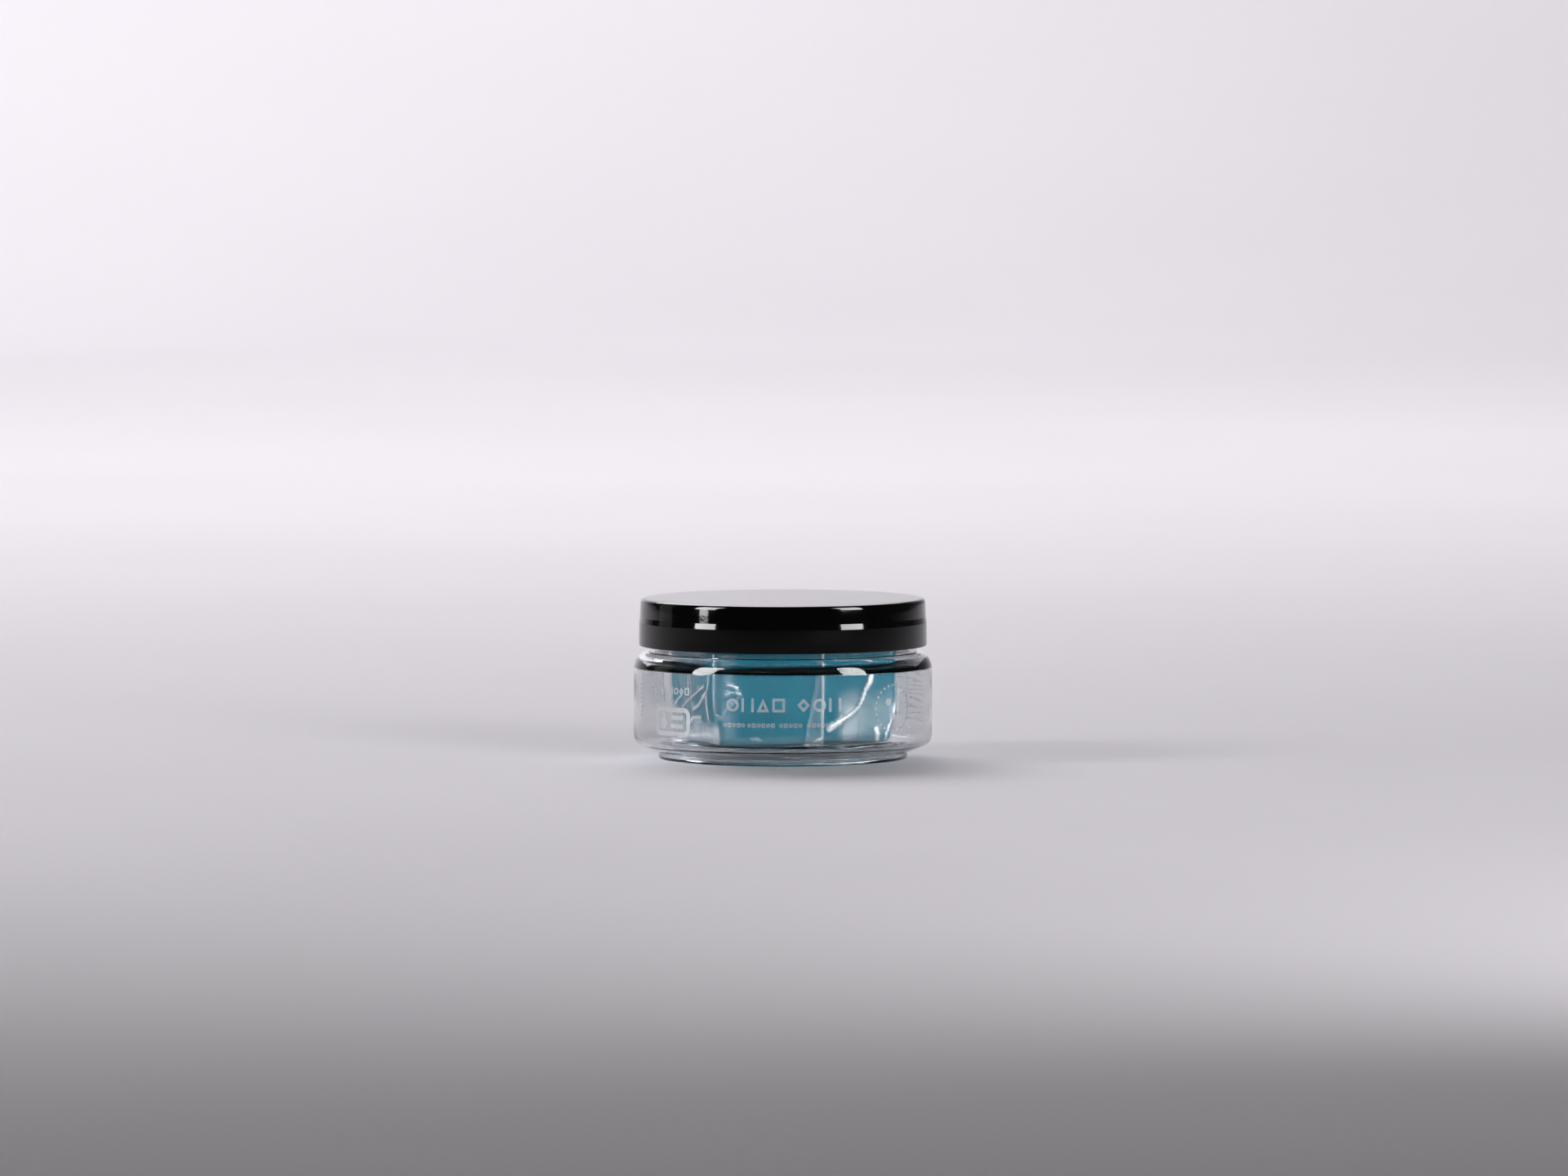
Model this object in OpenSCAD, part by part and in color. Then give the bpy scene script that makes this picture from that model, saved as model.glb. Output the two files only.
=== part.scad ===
// Car-detailing clay bar: a film-wrapped block of clay in a clear wide-mouth jar with a black screw lid.
// Millimetres, +Z up. The origin is on the surface that the jar stands on, at the jar's axis. The printed
// front of the jar faces -Y. At rest the lid is screwed down.

/* [Jar] */
// Outer diameter of the jar's body
body_d = 92; // [90:0.5:96]
// Height of the shoulder's top, where the neck starts
shoulder_z = 32.9; // [32.5:0.1:33.1]
// Height of the jar's rim
rim_z = 47; // [46.5:0.1:47.1]
// Outer diameter of the neck, under its thread
neck_d = 82.6; // [82:0.2:82.8]
// Wall thickness of the body
wall_t = 1; // [0.8:0.1:1.2]
// Wall thickness of the neck
neck_t = 1.5; // [1.2:0.1:1.6]
// Height at which the inside of the wall turns in towards the neck
inner_shoulder_z = 28.4; // [28:0.1:28.8]
// Outer diameter of the foot ring
foot_d = 76.8; // [76:0.2:78]
// Height of the moulded floor's upper face
floor_z = 5.2; // [4.8:0.1:5.3]

/* [Thread] */
// Axial rise in one turn
pitch = 5; // [4.6:0.1:5.4]
// Turns of thread on the neck and in the lid
thread_turns = 1.35; // [1:0.05:1.4]
// Height of a thread ridge above its wall
thread_h = 1.2; // [1:0.1:1.3]

/* [Lid] */
// Outer diameter at the bottom of the skirt
lid_d = 88.8; // [88.4:0.2:90]
// Height of the lid
lid_h = 14.6; // [14.4:0.1:15]
// Height of the lid's bottom edge above the table
lid_z = 35; // [34.8:0.1:35.2]
// Thickness of the lid's top
lid_top_t = 1.5; // [1.2:0.1:1.5]
// Thickness of the foam liner disc
liner_t = 0.95; // [0.6:0.05:0.95]

/* [Clay] */
// Length of the clay block
clay_l = 59.4; // [50:0.2:60]
// Depth of the clay block
clay_w = 45.4; // [36:0.2:46]
// Height of the clay block
clay_h = 31; // [24:0.5:33]
// Turn of the block about the jar's axis
clay_turn = 18; // [0:1:30]

/* [Print] */
// Thickness of the printed ink
ink_t = 0.06; // [0.04:0.01:0.1]

/* [Hidden] */
$fn = 96;

PET_CLEAR = [0.86, 0.90, 0.91, 0.35];
LID_BLACK = [0.02, 0.02, 0.022];
FOAM_BLACK = [0.06, 0.06, 0.065];
CLAY_TEAL = [0.03, 0.45, 0.56];
FILM_CLEAR = [0.80, 0.88, 0.90, 0.30];
INK_WHITE = [0.90, 0.90, 0.93];
INK_DARK = [0.10, 0.10, 0.11];

body_r = body_d / 2;
neck_r = neck_d / 2;
foot_r = foot_d / 2;
lid_r = lid_d / 2;

// Shape of the jar's shell
shoulder_w = 4.1;            // width of the shoulder's curve, a quarter of an ellipse
shoulder_h = 5.1;            // height of that curve
inner_slope = 42;            // angle of the shoulder's inside above the horizontal
waist_r = 3.7;               // rounding at the bottom of the body wall
waist_z = 7.45;              // where the body wall starts to turn in
skirt_slope = 21.6;          // angle of the body's underside above the horizontal
foot_z = 2.1;                // height at which the underside meets the foot ring
foot_round = 1.1;            // rounding of the foot ring
foot_inner_r = 35.4;         // inner edge of the foot ring's flat face
floor_t = 1.1;               // thickness of the floor
floor_r = 33;                // radius of the flat floor
rim_round = 0.35;            // rounding of the rim's two edges
gate_r = 1.6;                // moulding gate under the floor
gate_h = 0.5;

// Fits between the lid, the neck and the liner
thread_root_w = 2.5;         // width of a ridge at the wall it stands on
thread_crest_w = 1.2;        // width of a ridge at its crest
thread_sink = 0.4;           // how far a ridge is sunk into its wall
thread_z = 38.7;             // height at which the neck's thread starts
thread_gap = 0.35;           // radial clearance between a crest and the wall it runs in
thread_play = 0.25;          // how far the lid's ridge sits below the middle of the neck's groove
thread_fade = 30;            // degrees over which a ridge rises from its wall
thread_step = 7.5;           // degrees between the rings of a ridge
lid_bore_r = neck_r + thread_h + thread_gap;
lid_top_z = lid_z + lid_h;
lid_round = 1.4;             // rounding of the lid's top edge
lid_taper = 0.22;            // how much the upper skirt draws in
step_z = lid_top_z - 7.4;    // foot of the fine step round the skirt
step_h = 1.7;
step_in = 0.3;
lead_in = 0.7;               // chamfer inside the skirt's bottom edge
liner_r = lid_bore_r - 0.2;
liner_gap = 0.05;            // air on each side of the liner disc

// Clay block and its film
clay_round = 3;              // rounding of the block's edges
film_gap = 0.15;             // air between the block and its film
film_t = 0.15;
film_drop = 0.05;            // air between the film and the jar's floor
seam_w = 0.3;                // open slit of the film's lap seam
seam_off = 5.5;              // how far the lap seam is from the middle of the block's front

// Points on an arc of radius r about (cx, cy), from angle a0 to a1, in n steps
function arc(cx, cy, r, a0, a1, n = 8) =
    [for (i = [0:n]) let (a = a0 + (a1 - a0) * i / n) [cx + r * cos(a), cy + r * sin(a)]];

// One face of the jar's wall, from the foot ring up to the body, as points of radius and height: the outer
// face with no inset, and the inner one with the wall's thickness.
function body_face(wall) =
    let (low = 270 + skirt_slope)
    concat(
        arc(foot_r - foot_round, foot_round, foot_round - wall * 0.4, 270, 350, 4),
        [[foot_r - wall, foot_z + wall * 0.55]],
        arc(body_r - waist_r, waist_z, waist_r - wall, low, 360)
    );

// The outside of the shoulder, from the body up to the neck
function shoulder_face() = concat(
    [for (p = arc(0, 0, 1, 0, 90, 12))
        [body_r - shoulder_w + shoulder_w * p[0], shoulder_z - shoulder_h + shoulder_h * p[1]]],
    [[neck_r, shoulder_z]]
);

function reversed(list) = [for (i = [len(list) - 1:-1:0]) list[i]];

module jar_shell() {
    inner_r = body_r - wall_t;
    neck_inner_r = neck_r - neck_t;
    outer = concat(
        [[0, floor_z - floor_t], [floor_r, floor_z - floor_t], [foot_inner_r, 0]],
        body_face(0),
        shoulder_face(),
        arc(neck_r - rim_round, rim_z - rim_round, rim_round, 0, 90, 3)
    );
    inner = concat(
        [[0, floor_z], [floor_r + 0.4, floor_z], [foot_inner_r + 0.5, floor_t]],
        body_face(wall_t),
        [[inner_r, inner_shoulder_z]],
        [[neck_inner_r, inner_shoulder_z + (inner_r - neck_inner_r) * tan(inner_slope)]],
        arc(neck_inner_r + rim_round, rim_z - rim_round, rim_round, 180, 90, 3)
    );
    rotate_extrude() polygon(concat(outer, reversed(inner)));
}

// One ring of a thread ridge: four points at angle a, from the wall radius out (or in) to the crest
function ridge_ring(a, z, r_wall, out, rise) =
    let (
        r0 = r_wall - out * thread_sink,
        r1 = r_wall + out * thread_h * rise,
        w0 = thread_root_w / 2,
        w1 = thread_crest_w / 2
    )
    [for (p = [[r0, -w0], [r1, -w1], [r1, w1], [r0, w0]]) [p[0] * cos(a), p[0] * sin(a), z + p[1]]];

// A right-handed thread ridge that starts at height z0. `out` is 1 on an outer wall and -1 on an inner one.
module thread_ridge(r_wall, z0, out) {
    steps = round(thread_turns * 360 / thread_step);
    sweep = steps * thread_step;
    rings = [for (i = [0:steps])
        let (a = i * thread_step, rise = min(1, (a + 1) / thread_fade, (sweep - a + 1) / thread_fade))
        ridge_ring(a, z0 + pitch * a / 360, r_wall, out, rise)];
    sides = [for (i = [0:steps - 1]) for (k = [0:3])
        let (k2 = (k + 1) % 4) [i * 4 + k, (i + 1) * 4 + k, (i + 1) * 4 + k2, i * 4 + k2]];
    last = steps * 4;
    faces = concat([[0, 1, 2, 3]], sides, [[last + 3, last + 2, last + 1, last]]);
    polyhedron(
        points = [for (ring = rings) for (p = ring) p],
        faces = out > 0 ? [for (f = faces) reversed(f)] : faces,
        convexity = 8
    );
}

module jar() {
    color(PET_CLEAR) {
        jar_shell();
        thread_ridge(neck_r, thread_z, 1);
        translate([0, 0, floor_z - floor_t - gate_h]) cylinder(r = gate_r, h = gate_h + 0.1);
    }
}

module lid() {
    skirt_top_r = lid_r - step_in - lid_taper;
    outline = concat(
        [[0, lid_top_z - lid_top_t], [lid_bore_r, lid_top_z - lid_top_t], [lid_bore_r, lid_z + lead_in]],
        [[lid_bore_r + lead_in, lid_z]],
        arc(lid_r - 0.4, lid_z + 0.4, 0.4, 270, 360, 3),
        [[lid_r - 0.05, step_z], [lid_r - step_in, step_z + step_h]],
        arc(skirt_top_r - lid_round, lid_top_z - lid_round, lid_round, 0, 90),
        [[0, lid_top_z]]
    );
    color(LID_BLACK) {
        rotate_extrude() polygon(outline);
        thread_ridge(lid_bore_r, thread_z - pitch / 2 + thread_play, -1);
    }
}

module lid_liner() {
    color(FOAM_BLACK)
        translate([0, 0, lid_top_z - lid_top_t - liner_gap - liner_t])
            cylinder(r = liner_r, h = liner_t);
}

// A block of length l, depth w and height h with rounded edges, standing on z = 0
module rounded_block(l, w, h, r) {
    x = l / 2 - r;
    y = w / 2 - r;
    corners = [[-x, -y], [x, -y], [x, y], [-x, y]];
    union() {
        for (c = corners) translate([c[0], c[1], r]) {
            cylinder(r = r, h = h - 2 * r);
            for (z = [0, h - 2 * r]) translate([0, 0, z]) sphere(r);
        }
        for (sy = [-y, y], z = [r, h - r])
            translate([0, sy, z]) rotate([0, 90, 0]) cylinder(r = r, h = 2 * x, center = true);
        for (sx = [-x, x], z = [r, h - r])
            translate([sx, 0, z]) rotate([90, 0, 0]) cylinder(r = r, h = 2 * y, center = true);
        translate([-x, -w / 2, r]) cube([2 * x, w, h - 2 * r]);
        translate([-l / 2, -y, r]) cube([l, 2 * y, h - 2 * r]);
        translate([-x, -y, 0]) cube([2 * x, 2 * y, h]);
    }
}

film_z = floor_z + film_drop;
clay_z = film_z + film_t + film_gap;

module clay_bar() {
    color(CLAY_TEAL)
        translate([0, 0, clay_z])
            rotate([0, 0, clay_turn])
                rounded_block(clay_l, clay_w, clay_h, clay_round);
}

module film_wrapper() {
    inner_grow = 2 * film_gap;
    outer_grow = inner_grow + 2 * film_t;
    color(FILM_CLEAR)
        translate([0, 0, film_z])
            rotate([0, 0, clay_turn])
                difference() {
                    rounded_block(clay_l + outer_grow, clay_w + outer_grow, clay_h + outer_grow,
                        clay_round + film_gap + film_t);
                    translate([0, 0, film_t])
                        rounded_block(clay_l + inner_grow, clay_w + inner_grow, clay_h + inner_grow,
                            clay_round + film_gap);
                    translate([seam_off, -clay_w / 2 - 1, clay_round + film_t])
                        cube([seam_w, 2, clay_h - 2 * clay_round]);
                }
}

// Ink lies on the body wall. A mark is placed by its angle round the jar, 0 at the front and positive
// towards +X, and by its height. The children are flat shapes drawn as seen from outside the jar.
ink_r = body_r + 0.01;

module ink_patch(angle, z) {
    intersection() {
        rotate([0, 0, angle])
            translate([0, -body_r + 6, z])
                rotate([90, 0, 0])
                    linear_extrude(10) children();
        translate([0, 0, waist_z])
            difference() {
                cylinder(r = ink_r + ink_t, h = shoulder_z - shoulder_h - waist_z);
                translate([0, 0, -1]) cylinder(r = ink_r, h = shoulder_z);
            }
    }
}

// A flat bar of width w and height h, centred, with its corners rounded to r
module bar_shape(w, h, r) {
    square([w - 2 * r, h], center = true);
    square([w, h - 2 * r], center = true);
    for (x = [r - w / 2, w / 2 - r], y = [r - h / 2, h / 2 - r]) translate([x, y]) circle(r, $fn = 24);
}

// The outline of a bar, t wide
module frame_shape(w, h, r, t) {
    difference() {
        bar_shape(w, h, r);
        bar_shape(w - 2 * t, h - 2 * t, max(r - t, t / 4));
    }
}

// A plain mark that stands for a printed letter: 0 is a square frame, 1 a round one, 2 two uprights,
// 3 a triangle and 4 a diamond
module mark_shape(kind, w, h, t) {
    if (kind == 0) frame_shape(w, h, t / 2, t);
    if (kind == 1) difference() {
        circle((w + h) / 4, $fn = 12);
        circle((w + h) / 4 - t, $fn = 12);
    }
    if (kind == 2) for (x = [t / 2 - w / 2, w / 2 - t / 2]) translate([x, 0]) square([t, h], center = true);
    if (kind == 3) difference() {
        polygon([[-w / 2, -h / 2], [w / 2, -h / 2], [0, h / 2]]);
        polygon([[t * 1.6 - w / 2, t - h / 2], [w / 2 - t * 1.6, t - h / 2], [0, h / 2 - t * 2.2]]);
    }
    if (kind == 4) difference() {
        polygon([[-w / 2, 0], [0, -h / 2], [w / 2, 0], [0, h / 2]]);
        polygon([[t * 1.4 - w / 2, 0], [0, t * 1.5 - h / 2], [w / 2 - t * 1.4, 0], [0, h / 2 - t * 1.5]]);
    }
}

// Degrees of arc that a width takes on the body wall
function wide(w) = w / body_r * 180 / PI;

// The sum of a list's items before item i
function sum_before(list, i) = i == 0 ? 0 : list[i - 1] + sum_before(list, i - 1);

// Plain bars, each a width, in a row that starts at an angle, with a gap between them
module bar_row(start, z, widths, h, gap) {
    for (i = [0:len(widths) - 1]) {
        middle = sum_before(widths, i) + i * gap + widths[i] / 2;
        ink_patch(start + wide(middle), z) square([widths[i], h], center = true);
    }
}

// Marks of one width in a row that starts at an angle
module mark_row(start, z, kinds, w, h, t, gap) {
    for (i = [0:len(kinds) - 1])
        ink_patch(start + wide(i * (w + gap) + w / 2), z) mark_shape(kinds[i], w, h, t);
}

module title_print() {
    color(INK_WHITE) {
        mark_row(-22, 19.4, [1, 2, 3, 0], 3.9, 4.2, 0.8, 0.9);
        mark_row(5.4, 19.4, [4, 1, 2], 4, 4.2, 0.8, 1);
    }
}

// Four words of small marks: each is its start angle and the number of marks in it
module subtitle_print() {
    words = [[-23.3, 5], [-13.6, 6], [-1.3, 5], [9.4, 7]];
    color(INK_WHITE)
        for (word = words)
            mark_row(word[0], 13.2, [for (i = [1:word[1]]) i % 2], 1.1, 1.3, 0.3, 0.36);
}

module front_word_print() {
    color(INK_WHITE) mark_row(-60.5, 22.9, [1, 0, 3, 1, 2, 1, 4, 0], 1.8, 2.3, 0.45, 0.45);
}

// A wide frame with a water drop and two dashes in it
module front_emblem_print() {
    color(INK_WHITE)
        ink_patch(-48, 13.4)
            union() {
                frame_shape(15.6, 8.8, 2.4, 1.4);
                translate([-3.6, -0.6]) circle(1.5);
                translate([-3.6, -0.6]) polygon([[-1.35, 0.6], [1.35, 0.6], [0, 3.2]]);
                for (y = [-1.3, 1.3]) translate([2.2, y]) bar_shape(5.4, 1.3, 0.5);
            }
}

// A ring of dots round three more
module side_badge_print() {
    badge_angle = 47;
    badge_z = 17.7;
    dots = 24;
    ring_r = 7;
    color(INK_WHITE) {
        for (i = [0:dots - 1]) {
            a = 360 * i / dots;
            ink_patch(badge_angle + wide(ring_r * cos(a)), badge_z + ring_r * sin(a)) circle(0.4, $fn = 16);
        }
        for (a = [45, 135, 270])
            ink_patch(badge_angle + wide(2.7 * cos(a)), badge_z + 2.7 * sin(a)) circle(1.15, $fn = 32);
    }
}

// A line of small marks that runs up the jar
module side_text_print() {
    color(INK_WHITE)
        for (i = [0:7])
            ink_patch(-71, 14.4 + 1.35 * i) mark_shape(i % 2, 1, 1, 0.3);
}

module back_stripes_print() {
    stripes = 14;
    color(INK_WHITE)
        for (i = [0:stripes - 1])
            ink_patch(-125 + wide(1.3 * i), 20.4) square([0.4, 12], center = true);
}

module back_text_print() {
    color(INK_WHITE)
        for (i = [0:8])
            bar_row(105, 25.4 - 1.8 * i, i % 3 == 2 ? [8, 5.2] : [5.5, 8.2, 6.6], 0.32, 0.9);
}

module batch_mark_print() {
    color(INK_DARK) bar_row(139, 7.9, [1.4, 1, 1.8, 1, 1.4], 0.6, 0.4);
}

jar();
lid();
lid_liner();
clay_bar();
film_wrapper();
title_print();
subtitle_print();
front_word_print();
front_emblem_print();
side_badge_print();
side_text_print();
back_stripes_print();
back_text_print();
batch_mark_print();
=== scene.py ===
"""A film-wrapped clay bar in a clear screw-top jar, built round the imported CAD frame.

Shapes are worked out in millimetres, +Z up, with the jar's axis at the origin and the printed front
facing -Y, and are turned into metres when a mesh is made.
"""
import math

import bpy
import numpy as np
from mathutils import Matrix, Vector, noise


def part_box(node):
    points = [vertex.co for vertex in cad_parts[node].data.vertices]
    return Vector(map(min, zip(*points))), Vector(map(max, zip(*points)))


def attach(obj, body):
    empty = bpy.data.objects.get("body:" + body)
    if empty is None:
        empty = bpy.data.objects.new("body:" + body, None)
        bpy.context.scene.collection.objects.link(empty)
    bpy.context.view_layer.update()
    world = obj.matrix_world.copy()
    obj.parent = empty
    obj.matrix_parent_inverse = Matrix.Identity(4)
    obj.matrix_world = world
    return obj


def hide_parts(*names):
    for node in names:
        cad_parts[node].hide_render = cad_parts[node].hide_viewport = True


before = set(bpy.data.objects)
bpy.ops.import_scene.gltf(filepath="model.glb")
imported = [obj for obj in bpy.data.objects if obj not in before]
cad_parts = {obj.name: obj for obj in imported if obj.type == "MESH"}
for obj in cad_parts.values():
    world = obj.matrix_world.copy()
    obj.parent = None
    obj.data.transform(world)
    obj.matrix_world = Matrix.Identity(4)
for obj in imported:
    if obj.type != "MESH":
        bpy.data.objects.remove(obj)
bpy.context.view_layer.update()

MM = 0.001


def box_mm(node):
    """Lowest and highest corner of a CAD node, in millimetres."""
    low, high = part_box(node)
    return np.array(low) / MM, np.array(high) / MM


# ---------------------------------------------------------------- sizes

jar_high = box_mm("jar")[1]
lid_low, lid_high = box_mm("lid")
liner_low, liner_high = box_mm("lid_liner")

BODY_R = round(jar_high[0], 1)  # outside of the jar's body
RIM_Z = jar_high[2]
NECK_R = 41.3  # outside of the neck, under its thread
NECK_T = 1.5
WALL_T = 1.0
SHOULDER_Z = 32.9
SHOULDER_SIZE = (4.1, 5.1)  # width and height of the shoulder's curve
INNER_SHOULDER_Z = 28.4  # where the inside of the wall turns in, on a slope, to the neck
INNER_SHOULDER_SLOPE = math.radians(42)
FOOT_R = 38.4
FOOT_INNER_R = 35.4
FLOOR_R = 33.0
FLOOR_Z = 5.2
FLOOR_T = 1.1
GATE_R = 1.6
GATE_H = 0.5
UNDERSIDE_SLOPE = math.radians(21.6)  # the body's underside above the horizontal
UNDERSIDE_Z = 2.1  # where that underside meets the foot ring
# the faint waves inside the wall: their height, how many go round, and how they lean with height
WALL_WAVES = [(0.05, 3, 0.4), (0.03, 7, -0.9)]

PITCH = 5.0
THREAD_TURNS = 1.35
THREAD_H = 1.2
THREAD_ROOT_W = 2.5
THREAD_CREST_W = 1.2
THREAD_Z = 38.7  # the middle of the thread where it starts
THREAD_PLAY = 0.25
THREAD_FADE = math.radians(30)
THREADED_ABOVE = SHOULDER_Z + 4  # the neck is plain below this height

LID_R = lid_high[0]
LID_BOTTOM = lid_low[2]
LID_TOP = lid_high[2]
LID_BORE_R = NECK_R + THREAD_H + 0.35
LID_TOP_T = 1.5
LID_STEP_Z = LID_TOP - 7.4  # the fine step round the skirt
LID_STEP_H = 1.7
RIM_MARK = 0.12  # how deep the jar's rim has pressed into the liner

CLAY_TURN = math.radians(18)  # how far the block is turned about the jar's axis
CLAY_L, CLAY_W, CLAY_H = 59.4, 45.4, 31.0
CLAY_ROUND = 3.0
CLAY_WEAR = 0.16  # how far the clay's surface is set back on average, and how much that varies
CLAY_FOOT_H = 14  # the block narrows below this height
CLAY_FOOT_LOSS = (0.045, 0.015)  # the share of its length and of its width that it loses there
FILM_Z = FLOOR_Z + 0.05
FILM_OFF = 0.3  # the film's distance from the clay where it clings
CLAY_Z = FILM_Z + FILM_OFF

SEGMENTS = 256  # round every lathed piece
THREAD_STEP = 0.25  # the longest step along a section where there's a thread
JAR_STEP = 2.0
LID_STEP = 4.0
CLAY_CELL = 1.0
FILM_CELL = 0.62


# ---------------------------------------------------------------- mesh helpers


def smoothstep(x):
    x = np.clip(x, 0, 1)
    return x * x * (3 - 2 * x)


def make_object(name, verts, faces, sharp=None):
    """An object from vertices in millimetres, shaded smooth.

    Edges sharper than an angle, in degrees, are kept crisp if one is given.
    """
    mesh = bpy.data.meshes.new(name)
    mesh.from_pydata((np.asarray(verts, float) * MM).tolist(), [], faces)
    mesh.validate()
    mesh.shade_smooth()
    if sharp is not None:
        mesh.set_sharp_from_angle(angle=math.radians(sharp))
    obj = bpy.data.objects.new(name, mesh)
    bpy.context.scene.collection.objects.link(obj)
    return obj


def arc(cx, cz, r, start, end, steps=8):
    """Points on an arc about (cx, cz), between two angles in degrees."""
    angles = np.radians(np.linspace(start, end, steps + 1))
    return [(cx + r * math.cos(a), cz + r * math.sin(a)) for a in angles]


def rounded(corners, steps=6):
    """A path through corners, each (radius, height, rounding), with an arc of that rounding at each."""
    points = np.array([c[:2] for c in corners], float)
    path = [points[0]]
    for i in range(1, len(corners) - 1):
        here, rounding = points[i], corners[i][2]
        to_last, to_next = points[i - 1] - here, points[i + 1] - here
        room = 0.49 * min(np.linalg.norm(to_last), np.linalg.norm(to_next))
        to_last /= np.linalg.norm(to_last)
        to_next /= np.linalg.norm(to_next)
        half = math.acos(np.clip(to_last @ to_next, -1, 1)) / 2
        reach = min(rounding / max(math.tan(half), 1e-6), room)
        if reach < 1e-3 or half > 1.56:
            path.append(here)
            continue
        start, end = here + to_last * reach, here + to_next * reach
        for t in np.linspace(0, 1, steps + 1):
            path.append((1 - t) ** 2 * start + 2 * t * (1 - t) * here + t * t * end)
    path.append(points[-1])
    return path


def spaced(path, limit):
    """The same path with no step longer than limit(radius, height)."""
    out = [path[0]]
    for a, b in zip(path, path[1:]):
        middle = (np.array(a) + np.array(b)) / 2
        n = max(1, math.ceil(np.linalg.norm(np.array(b) - np.array(a)) / limit(*middle)))
        out += [np.array(a) + (np.array(b) - np.array(a)) * k / n for k in range(1, n + 1)]
    return out


def lathe(name, path, push=None, sharp=40):
    """A closed solid of revolution from a path that starts and ends on the axis.

    push(angle, radius, height) gives how far a ring's points move outwards from the axis.
    """
    angles = np.linspace(0, 2 * math.pi, SEGMENTS, endpoint=False)
    verts = [(0, 0, path[0][1])]
    for r, z in path[1:-1]:
        radius = np.full(SEGMENTS, float(r))
        if push is not None:
            radius += push(angles, r, z)
        verts += list(zip(radius * np.cos(angles), radius * np.sin(angles), np.full(SEGMENTS, z)))
    verts.append((0, 0, path[-1][1]))
    rings = len(path) - 2
    last = 1 + rings * SEGMENTS
    faces = []
    for k in range(SEGMENTS):
        n = (k + 1) % SEGMENTS
        faces.append((0, 1 + k, 1 + n))
        faces.append((last, last - SEGMENTS + n, last - SEGMENTS + k))
    for i in range(rings - 1):
        a, b = 1 + i * SEGMENTS, 1 + (i + 1) * SEGMENTS
        for k in range(SEGMENTS):
            n = (k + 1) % SEGMENTS
            faces.append((a + k, b + k, b + n, a + n))
    return make_object(name, verts, faces, sharp)


def ridge(angles, z, start_z):
    """Height of a right-handed thread ridge at each angle and a height z, with its ends faded out."""
    height = np.zeros(len(angles))
    sweep = THREAD_TURNS * 2 * math.pi
    for turn in (0, 1):
        a = angles + turn * 2 * math.pi
        off = np.abs(z - start_z - PITCH * a / (2 * math.pi))
        flank = (THREAD_ROOT_W - THREAD_CREST_W) / 2
        rise = smoothstep((THREAD_ROOT_W / 2 - off) / flank)
        fade = np.clip(np.minimum(a, sweep - a) / THREAD_FADE, 0, 1)
        height = np.maximum(height, THREAD_H * rise * smoothstep(fade) * (a <= sweep))
    return height


# ---------------------------------------------------------------- materials


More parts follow.
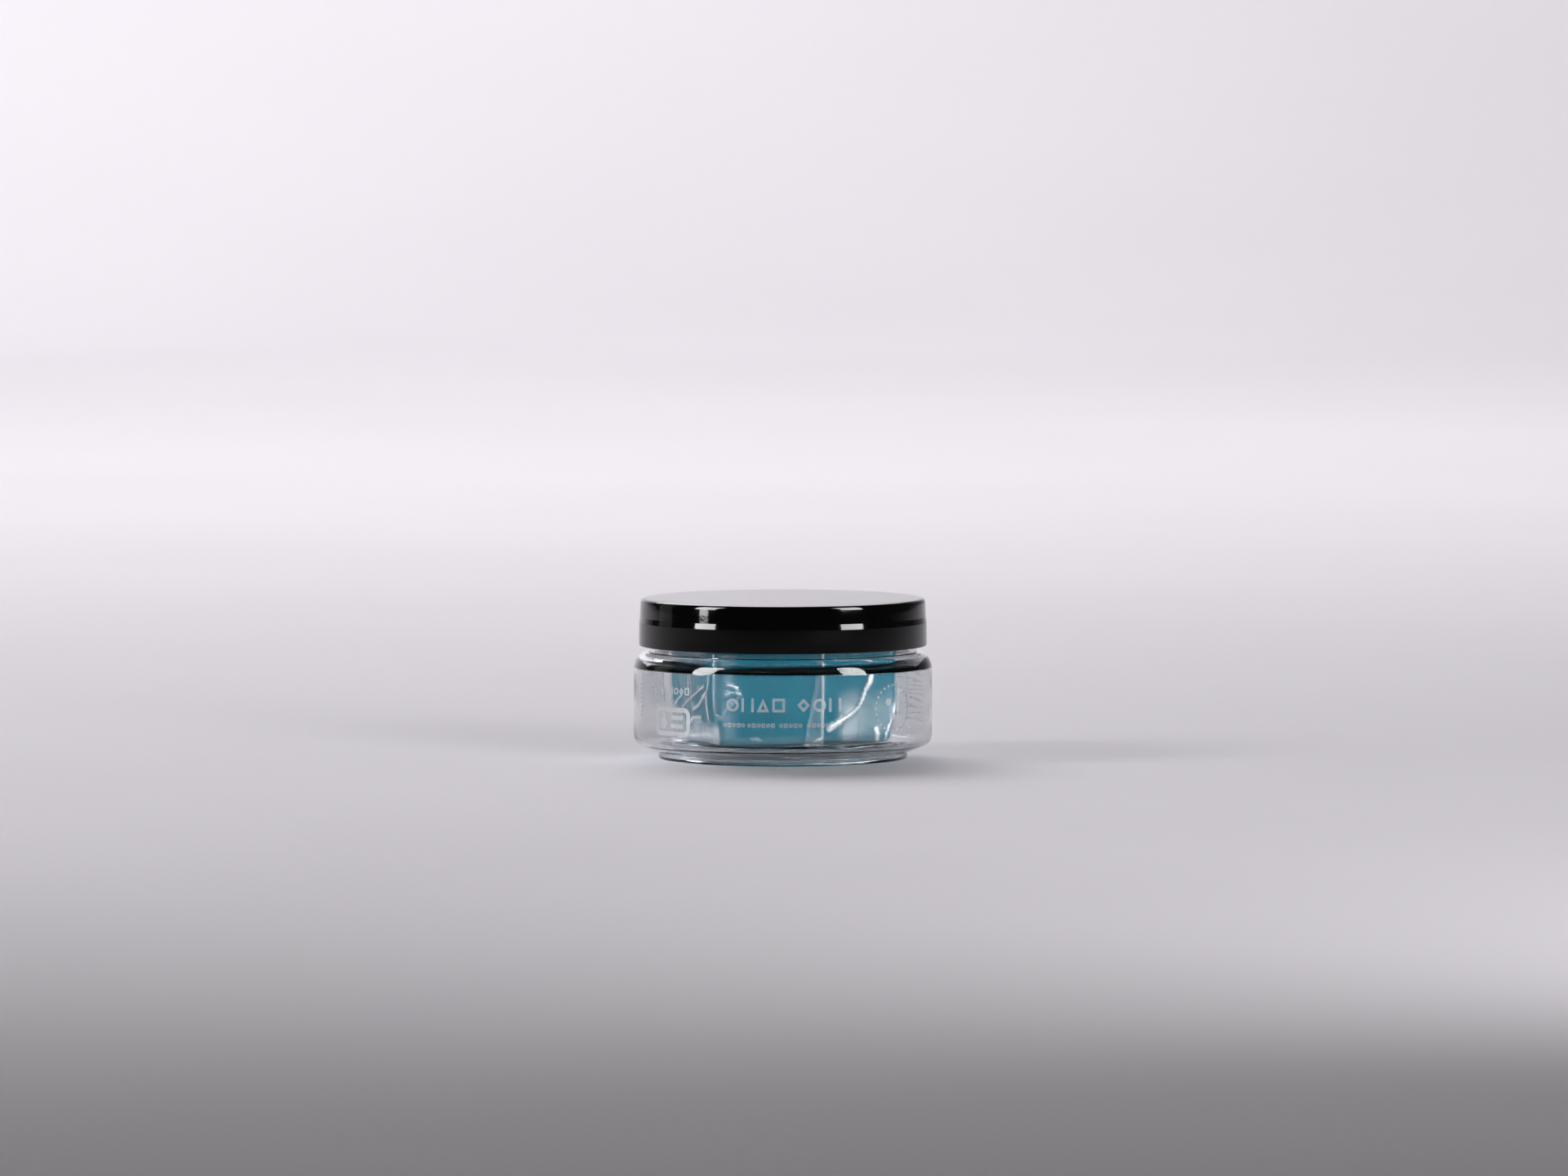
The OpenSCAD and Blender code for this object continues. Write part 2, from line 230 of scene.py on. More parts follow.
class Nodes:
    """Short calls for the nodes of one material."""

    def __init__(self, name):
        self.material = bpy.data.materials.new(name)
        self.material.use_nodes = True
        self.tree = self.material.node_tree
        self.bsdf = self.tree.nodes["Principled BSDF"]
        self.out = self.tree.nodes["Material Output"]

    def add(self, kind, **settings):
        node = self.tree.nodes.new(kind)
        for key, value in settings.items():
            setattr(node, key, value)
        return node

    def link(self, source, target):
        self.tree.links.new(source, target)

    def coords(self):
        return self.add("ShaderNodeTexCoord").outputs["Object"]

    def noise(self, scale, detail=3.0, roughness=0.5, vector=None):
        node = self.add("ShaderNodeTexNoise")
        node.inputs["Scale"].default_value = scale
        node.inputs["Detail"].default_value = detail
        node.inputs["Roughness"].default_value = roughness
        self.link(vector or self.coords(), node.inputs["Vector"])
        return node.outputs["Fac"]

    def ramp(self, source, stops):
        """A smooth ramp through stops of (position, colour or grey)."""
        node = self.add("ShaderNodeValToRGB")
        elements = node.color_ramp.elements
        while len(elements) < len(stops):
            elements.new(0.5)
        for element, (position, value) in zip(elements, stops):
            element.position = position
            colour = (value,) * 3 if isinstance(value, (int, float)) else value
            element.color = (*colour, 1)
        self.link(source, node.inputs["Fac"])
        return node.outputs["Color"]

    def scaled(self, factors):
        """Object coordinates stretched by a factor along each axis."""
        node = self.add("ShaderNodeMapping")
        node.inputs["Scale"].default_value = factors
        self.link(self.coords(), node.inputs["Vector"])
        return node.outputs["Vector"]

    def bump(self, height, strength, distance, normal=None):
        node = self.add("ShaderNodeBump")
        node.inputs["Strength"].default_value = strength
        node.inputs["Distance"].default_value = distance
        self.link(height, node.inputs["Height"])
        if normal is not None:
            self.link(normal, node.inputs["Normal"])
        return node.outputs["Normal"]

    def feed(self, socket, value):
        """Gives a socket a number, or links another node's output to it."""
        if isinstance(value, (int, float)):
            socket.default_value = value
        else:
            self.link(value, socket)

    def calc(self, operation, *values, clamp=False):
        """The result of a Math node fed with numbers or other nodes' outputs."""
        node = self.add("ShaderNodeMath", operation=operation, use_clamp=clamp)
        for socket, value in zip(node.inputs, values):
            self.feed(socket, value)
        return node.outputs["Value"]

    def shader(self, kind, colour, roughness=None):
        """A plain shader of one colour: Diffuse, Glossy or Transparent."""
        node = self.add("ShaderNodeBsdf" + kind)
        node.inputs["Color"].default_value = (*colour, 1)
        if roughness is not None:
            node.inputs["Roughness"].default_value = roughness
        return node.outputs["BSDF"]

    def mix(self, share, first, second):
        """Two shaders mixed, with this share of the second."""
        node = self.add("ShaderNodeMixShader")
        self.feed(node.inputs["Fac"], share)
        self.link(first, node.inputs[1])
        self.link(second, node.inputs[2])
        return node.outputs["Shader"]

    def mirror(self, head_on, normal):
        """How much a thin sheet reflects: head_on when seen square on, 1 edge on.

        It is Schlick's rule, made to give the same from both sides of the sheet.
        """
        facing = self.add("ShaderNodeLayerWeight")
        facing.inputs["Blend"].default_value = 0.5
        self.link(normal, facing.inputs["Normal"])
        power = self.calc("POWER", facing.outputs["Facing"], 5)
        return self.calc("MULTIPLY_ADD", power, 1 - head_on, head_on)

    def set(self, **values):
        """Values for the main shader's inputs, with _ for a space in an input's name."""
        for key, value in values.items():
            self.bsdf.inputs[key.replace("_", " ")].default_value = value


def lets_lamps_through(nodes, shader, tint):
    """Makes shader the material's surface, but lets light for matt surfaces straight through, tinted.

    Shadow rays bring such light from the lamps, and diffuse rays bring it from other surfaces.
    """
    clear = nodes.shader("Transparent", tint)
    path = nodes.add("ShaderNodeLightPath")
    for ray in ("Is Shadow Ray", "Is Diffuse Ray"):
        shader = nodes.mix(path.outputs[ray], shader, clear)
    nodes.link(shader, nodes.out.inputs["Surface"])


def clear_pet():
    n = Nodes("clear_pet")
    n.set(Base_Color=(0.80, 0.815, 0.83, 1), Roughness=0.015, IOR=1.57, Transmission_Weight=1.0)
    n.set(Specular_Tint=(0.15, 0.15, 0.15, 1))
    lines = n.noise(1.0, 2, vector=n.scaled((60, 60, 900)))
    n.link(n.bump(lines, 0.12, 0.0002), n.bsdf.inputs["Normal"])
    lets_lamps_through(n, n.bsdf.outputs["BSDF"], (0.92, 0.93, 0.94))
    return n.material


def lid_black():
    n = Nodes("lid_black")
    n.set(Base_Color=(0.0016, 0.0016, 0.0018, 1), IOR=1.45, Specular_Tint=(0.2, 0.2, 0.2, 1))
    smudge = n.noise(55, 4, 0.55)
    n.link(n.ramp(smudge, [(0.35, 0.035), (0.75, 0.07)]), n.bsdf.inputs["Roughness"])
    n.link(n.bump(n.noise(1400, 2), 0.05, 0.0001), n.bsdf.inputs["Normal"])
    return n.material


def liner_foam():
    n = Nodes("liner_foam")
    n.set(Roughness=0.75)
    grain = n.noise(900, 3)
    colour = n.ramp(grain, [(0.3, (0.010, 0.010, 0.011)), (0.7, (0.018, 0.018, 0.019))])
    n.link(colour, n.bsdf.inputs["Base Color"])
    n.link(n.bump(grain, 0.4, 0.0001), n.bsdf.inputs["Normal"])
    return n.material


def clay_teal():
    n = Nodes("clay_teal")
    n.set(Roughness=0.55, IOR=1.45, Specular_IOR_Level=0.1)
    cloud = n.noise(45, 4, 0.6)
    colour = n.ramp(cloud, [(0.3, (0.004, 0.250, 0.360)), (0.7, (0.008, 0.305, 0.430))])
    n.link(colour, n.bsdf.inputs["Base Color"])
    grain = n.bump(n.noise(1200, 3), 0.25, 0.0001)
    n.link(n.bump(n.noise(140, 3), 0.35, 0.0004, grain), n.bsdf.inputs["Normal"])
    return n.material


def film_clear():
    """Thin clear film: a glint that grows towards edge on, over a clear sheet whitened where it is creased
    or crumpled, partly by real crease whitening and haze, partly by painted highlights and sheen.
    """
    n = Nodes("film_clear")
    n.tree.nodes.remove(n.bsdf)
    # the whiteness is painted on each point of the film: real crease whitening and haze, and painted
    # highlights and sheen
    haze_and_sheen = n.add("ShaderNodeAttribute", attribute_name="haze_and_sheen").outputs["Fac"]
    clear = n.shader("Transparent", (0.97, 0.98, 0.98))
    matt = n.shader("Diffuse", (0.86, 0.93, 0.96))
    sheen = n.shader("Glossy", (0.90, 0.96, 0.98), 0.42)
    sheet = n.mix(haze_and_sheen, clear, n.mix(0.2, matt, sheen))
    wrinkle = n.bump(n.noise(330, 3, 0.6), 0.25, 0.0003)
    glint = n.add("ShaderNodeBsdfGlossy")
    glint.inputs["Roughness"].default_value = 0.09
    n.link(wrinkle, glint.inputs["Normal"])
    shine = n.calc("MULTIPLY_ADD", haze_and_sheen, 0.16, n.mirror(0.012, wrinkle), clamp=True)
    n.link(n.mix(shine, sheet, glint.outputs["BSDF"]), n.out.inputs["Surface"])
    return n.material


def ink(name, colour, thin=0.88, see_through=0.36, glow_share=0.3):
    """Screen-printed ink that glows a little when lit from behind.

    thin is how bright the thin patches of its uneven coat are, next to the rest.
    """
    n = Nodes(name)
    n.set(Roughness=0.45)
    patches = n.noise(700, 3)
    dimmer = tuple(c * thin for c in colour)
    coat = n.ramp(patches, [(0.3, dimmer), (0.65, colour)])
    n.link(coat, n.bsdf.inputs["Base Color"])
    n.link(n.bump(n.noise(2500, 2), 0.2, 0.00005), n.bsdf.inputs["Normal"])
    glow = n.add("ShaderNodeBsdfTranslucent")
    n.link(coat, glow.inputs["Color"])
    lit = n.mix(glow_share, n.bsdf.outputs["BSDF"], glow.outputs["BSDF"])
    surface = n.mix(see_through, lit, n.shader("Transparent", (1, 1, 1)))
    n.link(surface, n.out.inputs["Surface"])
    return n.material


def studio_grey():
    n = Nodes("studio_grey")
    n.set(Roughness=0.9, Specular_IOR_Level=0.0)
    paper = n.noise(3, 2)
    colour = n.ramp(paper, [(0.3, (0.70, 0.675, 0.71)), (0.7, (0.72, 0.695, 0.73))])
    n.link(colour, n.bsdf.inputs["Base Color"])
    return n.material


def paint(obj, material):
    obj.data.materials.clear()
    obj.data.materials.append(material)


# ---------------------------------------------------------------- camera

CAMERA_DISTANCE = 6000
CAMERA_ELEVATION = math.radians(3.52)
CAMERA_AIM = Vector((0.33, 0, 52.6))  # the jar sits a little below the middle of the view
VIEW_WIDTH_AT_JAR = 483.3  # how much the view takes in from side to side, at the jar
SENSOR_WIDTH = 36


def make_camera():
    data = bpy.data.cameras.new("camera")
    data.sensor_width = SENSOR_WIDTH
    data.lens = SENSOR_WIDTH * CAMERA_DISTANCE / VIEW_WIDTH_AT_JAR
    data.clip_start, data.clip_end = 0.05, 60
    cam = bpy.data.objects.new("camera", data)
    bpy.context.scene.collection.objects.link(cam)
    back = Vector((0, -math.cos(CAMERA_ELEVATION), math.sin(CAMERA_ELEVATION)))
    cam.location = (CAMERA_AIM + back * CAMERA_DISTANCE) * MM
    cam.rotation_mode = "QUATERNION"
    cam.rotation_quaternion = (-back).to_track_quat("-Z", "Y")
    bpy.context.scene.camera = cam


# ---------------------------------------------------------------- jar


def jar_path():
    """The jar's section, from the middle of its floor, out and up the inside, over the rim and back."""
    def underside(r, inset):
        """Height of the body's underside, or of a surface set in from it, at a radius."""
        rise = (r - FOOT_R) * math.tan(UNDERSIDE_SLOPE)
        return UNDERSIDE_Z + rise + inset / math.cos(UNDERSIDE_SLOPE)

    wide, tall = SHOULDER_SIZE
    shoulder = [
        (BODY_R - wide + wide * x, SHOULDER_Z - tall + tall * z, 0) for x, z in arc(0, 0, 1, 90, 0, 20)
    ]

    inner_r, neck_inner_r = BODY_R - WALL_T, NECK_R - NECK_T
    inner_neck_z = INNER_SHOULDER_Z + (inner_r - neck_inner_r) * math.tan(INNER_SHOULDER_SLOPE)
    corners = [
        (0, FLOOR_Z, 0),
        (FLOOR_R + 0.4, FLOOR_Z, 1.2),
        (FOOT_INNER_R + 0.5, FLOOR_T, 0.8),
        (FOOT_R - 1.1, FLOOR_T - 0.1, 0.5),
        (FOOT_R - WALL_T, underside(FOOT_R - WALL_T, WALL_T), 0.5),
        (inner_r, underside(inner_r, WALL_T), 2.7),
        (inner_r, INNER_SHOULDER_Z, 0.8),
        (neck_inner_r, inner_neck_z, 0.5),
        (neck_inner_r, RIM_Z, 0.35),
        (NECK_R, RIM_Z, 0.35),
        (NECK_R, SHOULDER_Z, 0.5),
        *shoulder,
        (BODY_R, underside(BODY_R, 0), 3.7),
        (FOOT_R, underside(FOOT_R, 0), 0.6),
        (FOOT_R, 0, 1.1),
        (FOOT_INNER_R, 0, 0.4),
        (FLOOR_R, FLOOR_Z - FLOOR_T, 1.2),
        (GATE_R, FLOOR_Z - FLOOR_T, 0.2),
        (GATE_R, FLOOR_Z - FLOOR_T - GATE_H, 0.25),
        (0, FLOOR_Z - FLOOR_T - GATE_H, 0),
    ]

    def limit(r, z):
        return THREAD_STEP if z > THREADED_ABOVE and r > NECK_R - 0.2 else JAR_STEP

    return spaced(rounded(corners, 8), limit)


def jar_push(angles, r, z):
    """The thread on the neck, and the slight waves that blowing leaves inside the wall."""
    if z > THREADED_ABOVE and r > NECK_R - 0.1:
        return ridge(angles, z, THREAD_Z)
    if r < BODY_R - WALL_T / 2 and FLOOR_Z + 1 < z < SHOULDER_Z - 1 and r > FOOT_R:
        return sum(height * np.sin(count * angles + lean * z) for height, count, lean in WALL_WAVES)
    return np.zeros(len(angles))


def make_jar(material):
    jar = lathe("jar_shell", jar_path(), jar_push)
    paint(jar, material)
    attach(jar, "jar")
    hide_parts("jar")


# ---------------------------------------------------------------- lid and liner


def make_lid(material):
    corners = [
        (0, LID_TOP - LID_TOP_T, 0),
        (LID_BORE_R, LID_TOP - LID_TOP_T, 0.4),
        (LID_BORE_R, LID_BOTTOM + 0.7, 0.2),
        (LID_BORE_R + 0.7, LID_BOTTOM, 0.15),
        (LID_R, LID_BOTTOM, 0.4),
        (LID_R - 0.05, LID_STEP_Z, 0.15),
        (LID_R - 0.3, LID_STEP_Z + LID_STEP_H, 0.25),
        (LID_R - 0.52, LID_TOP, 1.4),
        (0, LID_TOP, 0),
    ]

    def limit(r, z):
        in_bore = abs(r - LID_BORE_R) < 0.1 and z < LID_TOP - LID_TOP_T - 1
        return THREAD_STEP if in_bore else LID_STEP

    def push(angles, r, z):
        """The thread inside the skirt, half a pitch below the jar's but for the play between them."""
        if abs(r - LID_BORE_R) < 0.05 and LID_BOTTOM + 0.2 < z < LID_TOP - LID_TOP_T - 0.5:
            return -ridge(angles, z, THREAD_Z - PITCH / 2 + THREAD_PLAY)
        return np.zeros(len(angles))

    lid = lathe("screw_lid", spaced(rounded(corners, 8), limit), push)
    paint(lid, material)
    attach(lid, "lid")
    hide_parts("lid")


def make_liner(material):
    low, high, r = liner_low[2], liner_high[2], liner_high[0]
    corners = [
        (0, low, 0),
        (NECK_R - NECK_T - 0.5, low, 0.3),
        (NECK_R - NECK_T, low + RIM_MARK, 0.3),
        (NECK_R, low + RIM_MARK, 0.3),
        (NECK_R + 0.4, low, 0.2),
        (r, low, 0.3),
        (r, high, 0.3),
        (0, high, 0),
    ]
    liner = lathe("liner_disc", spaced(rounded(corners, 4), lambda *_: LID_STEP), sharp=60)
    paint(liner, material)
    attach(liner, "liner")
    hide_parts("lid_liner")


# ---------------------------------------------------------------- clay


def block_grid(size, rounding, cell):
    """Vertices, outward normals and quads of a rounded block centred on the origin.

    The grid's cells are about one cell wide, and shared edges are joined.
    """
    half = np.array(size) / 2
    counts = [max(4, round(s / cell)) for s in size]
    index, verts, faces = {}, [], []

    def vertex(i, j, k):
        key = (i, j, k)
        if key not in index:
            index[key] = len(verts)
            verts.append([half[a] * (2 * n / counts[a] - 1) for a, n in enumerate(key)])
        return index[key]

    for axis in range(3):
        u, v = (axis + 1) % 3, (axis + 2) % 3
        for side in (0, counts[axis]):
            for a in range(counts[u]):
                for b in range(counts[v]):
                    quad = []
                    for da, db in ((0, 0), (1, 0), (1, 1), (0, 1)):
                        key = [0, 0, 0]
                        key[axis], key[u], key[v] = side, a + da, b + db
                        quad.append(vertex(*key))
                    faces.append(quad if side else quad[::-1])
    cube = np.array(verts)
    inner = np.clip(cube, rounding - half, half - rounding)
    normal = cube - inner
    normal /= np.linalg.norm(normal, axis=1)[:, None]
    return inner + normal * rounding, normal, faces


def turned(points):
    """Points in the block's own frame, turned about the jar's axis to where the block stands."""
    c, s = math.cos(CLAY_TURN), math.sin(CLAY_TURN)
    p = np.asarray(points, float)
    return np.column_stack([p[:, 0] * c - p[:, 1] * s, p[:, 0] * s + p[:, 1] * c, p[:, 2]])


def lumps(points, scale, seed):
    """Smooth noise between about -1 and 1 at each point."""
    shift = Vector((seed * 7.3, seed * 3.1, seed * 5.7))
    return np.array([noise.noise(Vector(p) * scale + shift) for p in points]) * 1.6


def clay_shape(points):
    """Points with heights above the block's underside, drawn in a little towards its foot."""
    low = smoothstep((CLAY_FOOT_H - points[:, 2]) / CLAY_FOOT_H)
    shaped = points.copy()
    for axis, loss in enumerate(CLAY_FOOT_LOSS):
        shaped[:, axis] *= 1 - loss * low
    return shaped


def make_clay(material):
    size = (CLAY_L, CLAY_W, CLAY_H)
    points, normal, faces = block_grid(size, CLAY_ROUND, CLAY_CELL)
    points -= normal * (CLAY_WEAR + CLAY_WEAR * lumps(points, 0.11, 1))[:, None]
    points[:, 2] += CLAY_H / 2
    points = clay_shape(points)
    points[:, 2] += CLAY_Z
    clay = make_object("clay_block", turned(points), faces)
    paint(clay, material)
    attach(clay, "bar")
    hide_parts("clay_bar")


# ---------------------------------------------------------------- film

# Creases in the film. Each is a face of the block, a line of (along, height) points on it, how far it
# stands out, its half width and how white it is. The whiteness is partly real crease whitening and partly a
# painted highlight, most of all on the long ridge at the right of the front. Along runs with the block's
# length on the front, and from front to back on the left end; height is above the table.
CREASES = [
    ("front", [(5.4, 4), (5.4, 38)], 0.35, 0.45, 0.35),
    ("front", [(4.3, 27), (-0.5, 5.5)], 0.25, 0.5, 0.12),
    # the long ridge: its whiteness is mostly a painted highlight
    ("front", [(20.6, 27.5), (20.2, 25), (18.6, 20.8), (16.4, 16.4), (14.9, 15), (11.5, 12.8), (7.6, 10.4)],
     0.7, 0.55, 0.95),
    ("front", [(20.9, 28), (20.4, 24.5), (19.6, 22.6)], 0.4, 0.95, 0.6),
    ("front", [(11.4, 12.6), (7.6, 10.3), (8.6, 11.2)], 0.4, 0.9, 0.95),
    ("front", [(24.3, 6.7), (24.0, 8.4), (23.4, 10)], 0.3, 0.8, 0.9),
    ("front", [(-29.3, 8), (-29.3, 37)], 0.25, 0.3, 0.5),
    ("front", [(28.9, 17), (28.0, 12.5), (26.6, 6.7)], 0.5, 0.4, 0.9),
    ("front", [(-21.6, 21), (-25, 17.6), (-28.6, 13.6)], 0.3, 0.35, 0.35),
    ("front", [(-25.8, 24.6), (-24, 24.2), (-22.2, 23.4)], 0.35, 0.5, 0.35),
    ("front", [(-26.5, 21), (-23.6, 22.2), (-21, 21.6)], 0.3, 0.5, 0.2),
    ("front", [(-28.6, 15.2), (-27.4, 14.2)], 0.3, 0.4, 0.5),
    ("front", [(-18, 7.9), (-14.6, 7.2)], 0.3, 0.45, 0.3),
    ("front", [(-4.6, 6.2), (-0.4, 5.7)], 0.3, 0.5, 0.35),
    ("front", [(2.6, 5.7), (5.2, 7.3)], 0.5, 0.7, 0.75),
    ("left", [(-3, 16.4), (-1, 25.6), (1.5, 28)], 0.4, 0.45, 0.8),
    ("left", [(1, 20.2), (1, 28)], 0.5, 0.5, 0.95),
    ("left", [(-19.4, 28), (-19.2, 25.5), (-17.4, 22.4), (-13.4, 20.4)], 0.5, 0.6, 0.85),
    ("left", [(-14.5, 24.2), (-2, 19.4), (9.4, 15.2)], 0.45, 0.5, 0.8),
    ("left", [(7.4, 19.8), (15.8, 16)], 0.45, 0.55, 0.95),
    ("left", [(-16.6, 21.4), (-9, 17.6), (-2.4, 15.6)], 0.4, 0.7, 0.85),
    ("left", [(3.6, 11), (-2.8, 13.2), (-10.4, 13.6)], 0.6, 0.7, 0.95),
    ("left", [(-17.4, 20.6), (-17.6, 13.8)], 0.4, 0.9, 0.85),
]


def crease_lift(points, normal):
    """How far the creases lift the film at each point, and how white they make it: real crease whitening
    and painted highlights.
    """
    lift, white = np.zeros(len(points)), np.zeros(len(points))
    facing = {"front": -normal[:, 1], "left": -normal[:, 0]}
    across = {"front": points[:, 0], "left": points[:, 1]}
    for face, line, height, half_width, whiteness in CREASES:
        there = smoothstep((facing[face] - 0.5) / 0.3)
        flat = np.column_stack([across[face], points[:, 2]])
        near = np.full(len(points), 1e9)
        for a, b in zip(line, line[1:]):
            a, b = np.array(a, float), np.array(b, float)
            t = np.clip((flat - a) @ (b - a) / ((b - a) @ (b - a)), 0, 1)
            near = np.minimum(near, np.linalg.norm(flat - a - t[:, None] * (b - a), axis=1))
        ridge_shape = np.clip(1 - near / (2 * half_width), 0, 1) ** 1.5
        lift = np.maximum(lift, height * ridge_shape * there)
        white = np.maximum(white, whiteness * smoothstep(1.3 - near / half_width) * there)
    return lift, white


def crackle(points, scale, seed):
    """Folded-film noise: flat facets with sharp creases between them, from 0 to about 1."""
    shift = Vector((seed * 4.1, seed * 9.2, seed * 2.6))
    out = []
    for p in points:
        near = noise.voronoi(Vector(p) * scale + shift)[0]
        out.append(near[1] - near[0])
    return np.array(out)


# Loose layers of the folded film: four corners in the block's own frame, how far the middle bulges, in
# which direction, and how white the layer is, partly the film's haze and partly painted sheen. They are
# the lap seam, the fin at the right of the front, and the folded flap on each end.
FLAPS = [
    ([(-0.8, -23.5, 5.0), (5.4, -23.7, 4.6), (5.4, -23.8, 37.0), (4.7, -23.5, 37.0)],
     0.25, (0, -1, 0), 0.06),
    ([(30.2, -20.5, 6.8), (36.3, -12.5, 12.6), (36.3, -12.5, 29.5), (30.2, -20.5, 31)],
     0.9, (0.9, -0.4, 0), 0.24),
    ([(-31.0, -3.5, 13.2), (-31.0, -1.5, 13.2), (-30.5, 18, 35.5), (-30.5, -18, 35.5)],
     0.5, (-1, 0, 0), 0.04),
    ([(31.0, -1.5, 13.2), (31.0, 2.5, 13.2), (30.5, 18, 35.5), (30.5, -18, 35.5)],
     0.5, (1, 0, 0), 0.12),
]
# the whiter rim is a painted highlight along each loose layer's edge
FLAP_RIM_WHITER = 1.6  # how much whiter a layer is along its rim
FLAP_WAVE = 0.12

# How white the crumpled places of the film are: partly the real haze of loose film, partly painted
# reflection and sheen.
LEFT_FOLD_HAZE_AND_SHEEN = 0.65
LEFT_END_HAZE_AND_SHEEN = 0.03
FRONT_FOOT_HAZE_AND_SHEEN = 0.16
RIDGE_HAZE_AND_SHEEN, RIGHT_CORNER_HAZE_AND_SHEEN = 0.36, 0.16  # below the long ridge of the front, from its left to its right
LEFT_CORNER_HAZE_AND_SHEEN = 0.10
# the upper edge of the left end's fold: from front to back, and its height
LEFT_FOLD_EDGE = ([-18, -3, 4, 10, 22], [13.5, 13.4, 11.0, 16.5, 18.0])

# How far the film's wrinkles stand out: its facets, the finer ones, and soft waves.
FACET_H, FINE_H, SOFT_H = 0.28, 0.10, 0.05


def make_flaps(cells=28):
    """Points, faces and whiteness of the loose layers, each a grid between its corners."""
    points, faces, white = [], [], []
    for corners, bulge, outwards, whiteness in FLAPS:
        first = len(points)
        a, b, c, d = (np.array(corner, float) for corner in corners)
        for v in np.linspace(0, 1, cells + 1):
            for u in np.linspace(0, 1, cells + 1):
                flat = (1 - v) * ((1 - u) * a + u * b) + v * ((1 - u) * d + u * c)
                swell = bulge * 4 * u * (1 - u) * math.sin(math.pi * v)
                points.append(flat + swell * np.array(outwards))
                rim = max(abs(2 * u - 1), abs(2 * v - 1))
                white.append(whiteness * (1 + FLAP_RIM_WHITER * smoothstep((rim - 0.93) / 0.07)))
        for j in range(cells):
            for i in range(cells):
                k = first + j * (cells + 1) + i
                faces.append((k, k + 1, k + cells + 2, k + cells + 1))
    points = np.array(points)
    points += FLAP_WAVE * np.column_stack([lumps(points, 0.3, seed) for seed in (5, 6, 7)])
    return points, faces, np.array(white)


def haze_and_sheen_areas(points, normal):
    """Whiteness of the crumpled places: on the left end, and along the foot and both sides of the front. It
    is partly the real haze of loose film and partly painted reflection and sheen.
    """
    x, y, z = points.T
    left = smoothstep((-normal[:, 0] - 0.4) / 0.3)
    front = smoothstep((-normal[:, 1] - 0.4) / 0.3)
    fold = np.interp(y, *LEFT_FOLD_EDGE)
    under_ridge = smoothstep((x - 9) / 5) * smoothstep((24 - z) / 9)
    ridge_haze_and_sheen = RIDGE_HAZE_AND_SHEEN + (RIGHT_CORNER_HAZE_AND_SHEEN - RIDGE_HAZE_AND_SHEEN) * smoothstep((x - 14) / 7)
    places = [
        LEFT_FOLD_HAZE_AND_SHEEN * left * smoothstep((fold - z) / 3),
        LEFT_END_HAZE_AND_SHEEN * left,
        FRONT_FOOT_HAZE_AND_SHEEN * front * smoothstep((9 - z) / 3),
        ridge_haze_and_sheen * front * under_ridge,
        LEFT_CORNER_HAZE_AND_SHEEN * front * smoothstep((-x - 21) / 5),
    ]
    return np.maximum.reduce(places)


def make_film(material):
    size = (CLAY_L + 2 * FILM_OFF, CLAY_W + 2 * FILM_OFF, CLAY_H + 2 * FILM_OFF)
    points, normal, faces = block_grid(size, CLAY_ROUND + FILM_OFF, FILM_CELL)
    points[:, 2] += CLAY_H / 2 + FILM_OFF
    points[:, 2] += FILM_Z
    lift, white = crease_lift(points, normal)
    loose = 0.25 + 0.75 * smoothstep((np.abs(points[:, 0]) - 20) / 12)  # it is looser towards the ends
    fine = crackle(points, 0.28, 2)
    rise = FACET_H * crackle(points, 0.10, 1) * loose + FINE_H * fine * loose
    rise += SOFT_H * lumps(points, 0.35, 3)
    # the bottom rests on the jar's floor, so it can't bulge
    free = np.clip(1 + normal[:, 2], 0, 1)
    # whiteness of the film: a little real haze on its sharper facets, plus the creases and crumpled places,
    # which are partly painted highlights and sheen
    haze_and_sheen = 0.004 + 0.08 * np.clip(fine - 0.45, 0, 1) * loose + np.maximum(white, haze_and_sheen_areas(points, normal))
    haze_and_sheen = np.clip(haze_and_sheen, 0, 0.95)
    above_foot = points[:, 2] - CLAY_Z
    points += normal * (rise * free + lift * free)[:, None]
    shaped = clay_shape(np.column_stack([points[:, :2], above_foot]))
    points[:, :2] = shaped[:, :2]
    loose_points, loose_faces, loose_white = make_flaps()
    faces += [tuple(k + len(points) for k in face) for face in loose_faces]
    points = np.vstack([points, loose_points])
    haze_and_sheen = np.concatenate([haze_and_sheen, loose_white])
    film = make_object("film_wrap", turned(points), faces)
    attribute = film.data.attributes.new("haze_and_sheen", "FLOAT", "POINT")
    attribute.data.foreach_set("value", haze_and_sheen.astype(np.float32))
    paint(film, material)
    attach(film, "bar")
    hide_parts("film_wrapper")


# ---------------------------------------------------------------- print

PRINT_WHITE = (0.76, 0.79, 0.83)


def paint_prints(white):
    """Gives every printed element its ink: white, unless it's listed here."""
    thin = ink("ink_thin", PRINT_WHITE, see_through=0.62)
    own = {
        "title_print": thin,
        "subtitle_print": thin,
        "front_emblem_print": ink("ink_thick", (0.86, 0.88, 0.91), 0.90, see_through=0.28),
        "back_text_print": ink("ink_faint", PRINT_WHITE, see_through=0.55, glow_share=0.65),
        "batch_mark_print": ink("ink_dark", (0.03, 0.03, 0.035), 0.6),
    }
    for name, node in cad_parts.items():
        if name.endswith("_print"):
            paint(node, own.get(name, white))


# ---------------------------------------------------------------- studio


def make_backdrop(material):
    """A floor that runs back, curves up and becomes a wall."""
    front, back, sweep_r, wall_top, half_width = -3600, 2600, 1400, 4600, 4200
    section = [(y, 0) for y in np.linspace(front, back, 12)]
    section += arc(back, sweep_r, sweep_r, -90, 0, 24)[1:]
    section += [(back + sweep_r, wall_top)]
    verts, faces = [], []
    for y, z in section:
        verts += [(-half_width, y, z), (half_width, y, z)]
    for i in range(len(section) - 1):
        faces.append((2 * i, 2 * i + 1, 2 * i + 3, 2 * i + 2))
    backdrop = make_object("backdrop", verts, faces)
    paint(backdrop, material)


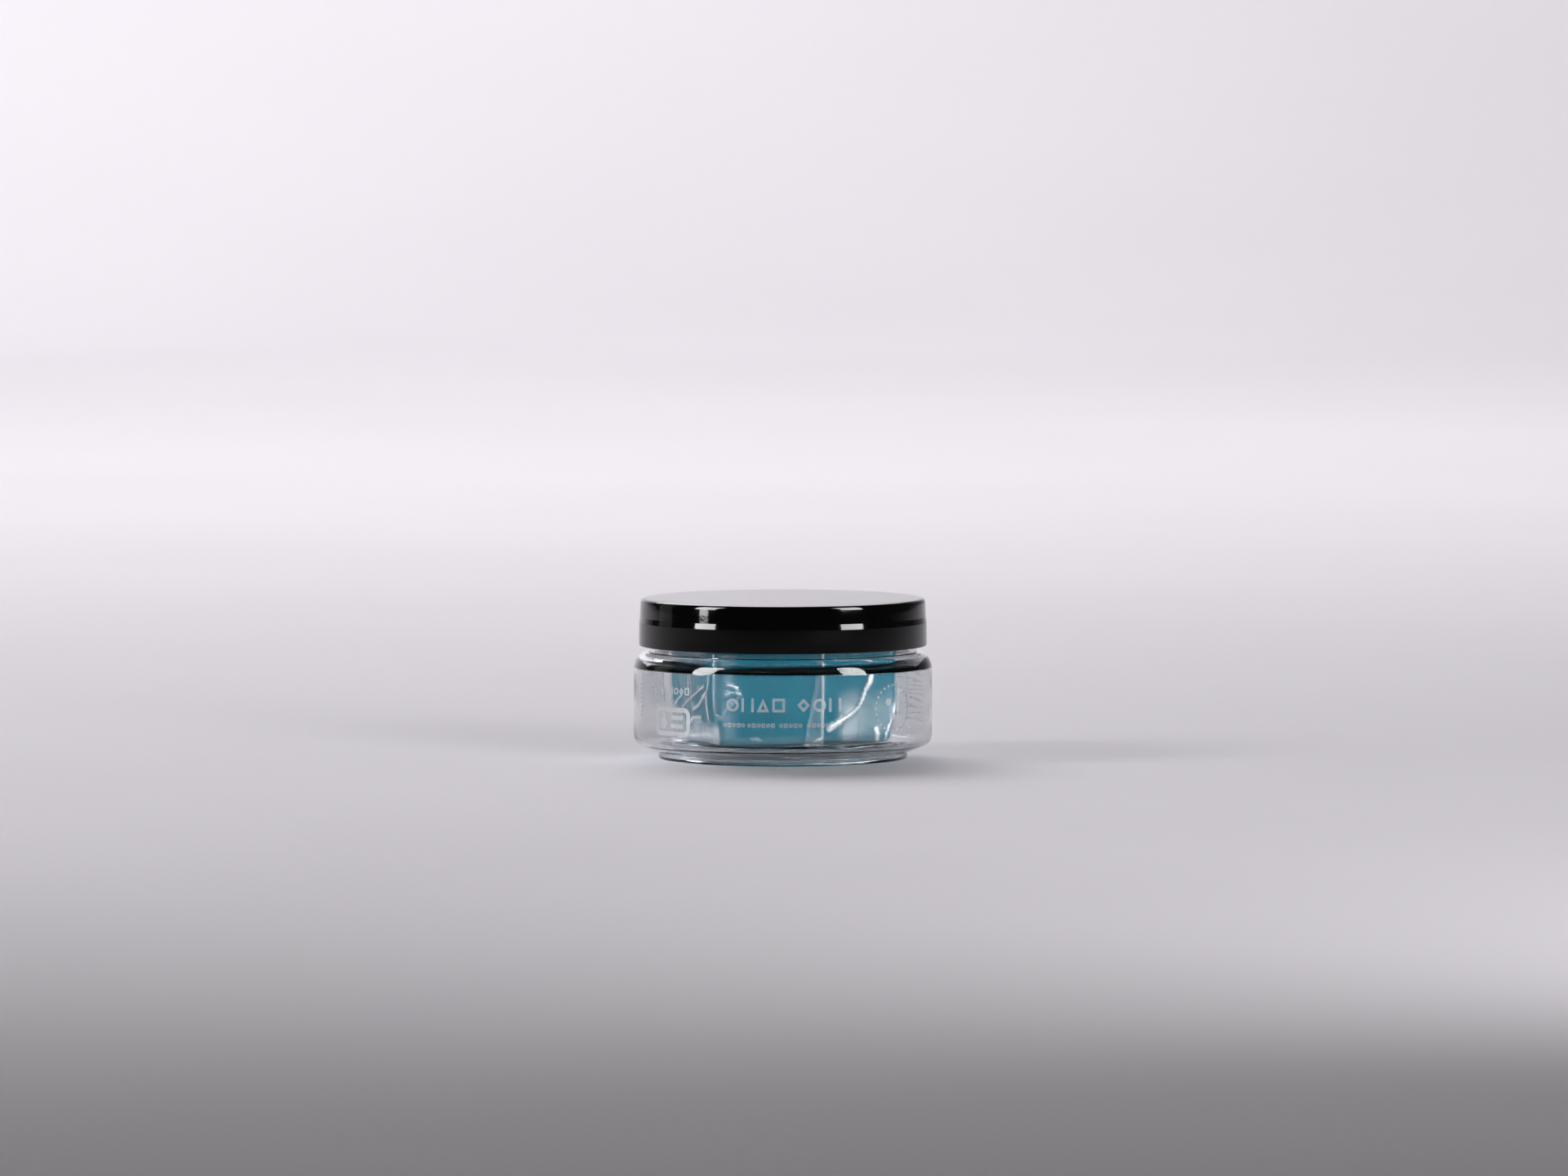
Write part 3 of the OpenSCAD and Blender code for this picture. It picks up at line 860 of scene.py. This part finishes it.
def make_light(name, azimuth, elevation, distance, size, power, sees="all", aim=(0, 0, 25), spread=180):
    """A rectangular soft light and what it is aimed at, the jar unless aim says otherwise.

    Azimuth 0 is on the camera's side of the aim, and 90 on its right.
    sees is "matte" for a light that only matt surfaces show, "gloss" for one that only reflections show.
    """
    data = bpy.data.lights.new(name, "AREA")
    data.shape = "RECTANGLE"
    data.size, data.size_y = size[0] * MM, size[1] * MM
    data.energy = power
    data.spread = math.radians(spread)
    light = bpy.data.objects.new(name, data)
    bpy.context.scene.collection.objects.link(light)
    a, e = math.radians(azimuth), math.radians(elevation)
    out = Vector((math.sin(a) * math.cos(e), -math.cos(a) * math.cos(e), math.sin(e)))
    light.location = (Vector(aim) + out * distance) * MM
    light.rotation_mode = "QUATERNION"
    light.rotation_quaternion = (-out).to_track_quat("-Z", "Y")
    if sees == "matte":
        light.visible_glossy = False
    if sees == "gloss":
        light.visible_diffuse = False
    light.visible_camera = False


def make_lights():
    make_light("right_softbox", 38, 12, 1250, (540, 400), 3.4, sees="matte", spread=118)
    make_light("left_softbox", -70, 26, 1500, (420, 520), 5.2, sees="matte", spread=160)
    make_light("right_window", 57, 23, 1250, (430, 820), 72, sees="gloss")
    make_light("left_window", -65, 23, 1250, (420, 820), 72, sees="gloss")
    make_light("left_stand", -66, 3.5, 1250, (170, 100), 2.5, sees="gloss")
    make_light("left_card", -109, 14, 1600, (500, 900), 0.6, sees="gloss")
    make_light("overhead", -165, 42, 2700, (2600, 1400), 23, spread=116)
    make_light("wall_wash", -14, 60, 2100, (2400, 1400), 92, aim=(-750, 4000, 800))
    world = bpy.data.worlds.new("studio")
    world.use_nodes = True
    world.node_tree.nodes["Background"].inputs["Color"].default_value = (0.9, 0.88, 0.93, 1)
    world.node_tree.nodes["Background"].inputs["Strength"].default_value = 0.06
    bpy.context.scene.world = world
    bpy.context.scene.view_settings.view_transform = "Standard"


# ---------------------------------------------------------------- build

make_camera()
make_jar(clear_pet())
make_lid(lid_black())
make_liner(liner_foam())
make_clay(clay_teal())
make_film(film_clear())
paint_prints(ink("ink_white", PRINT_WHITE))
make_backdrop(studio_grey())
make_lights()
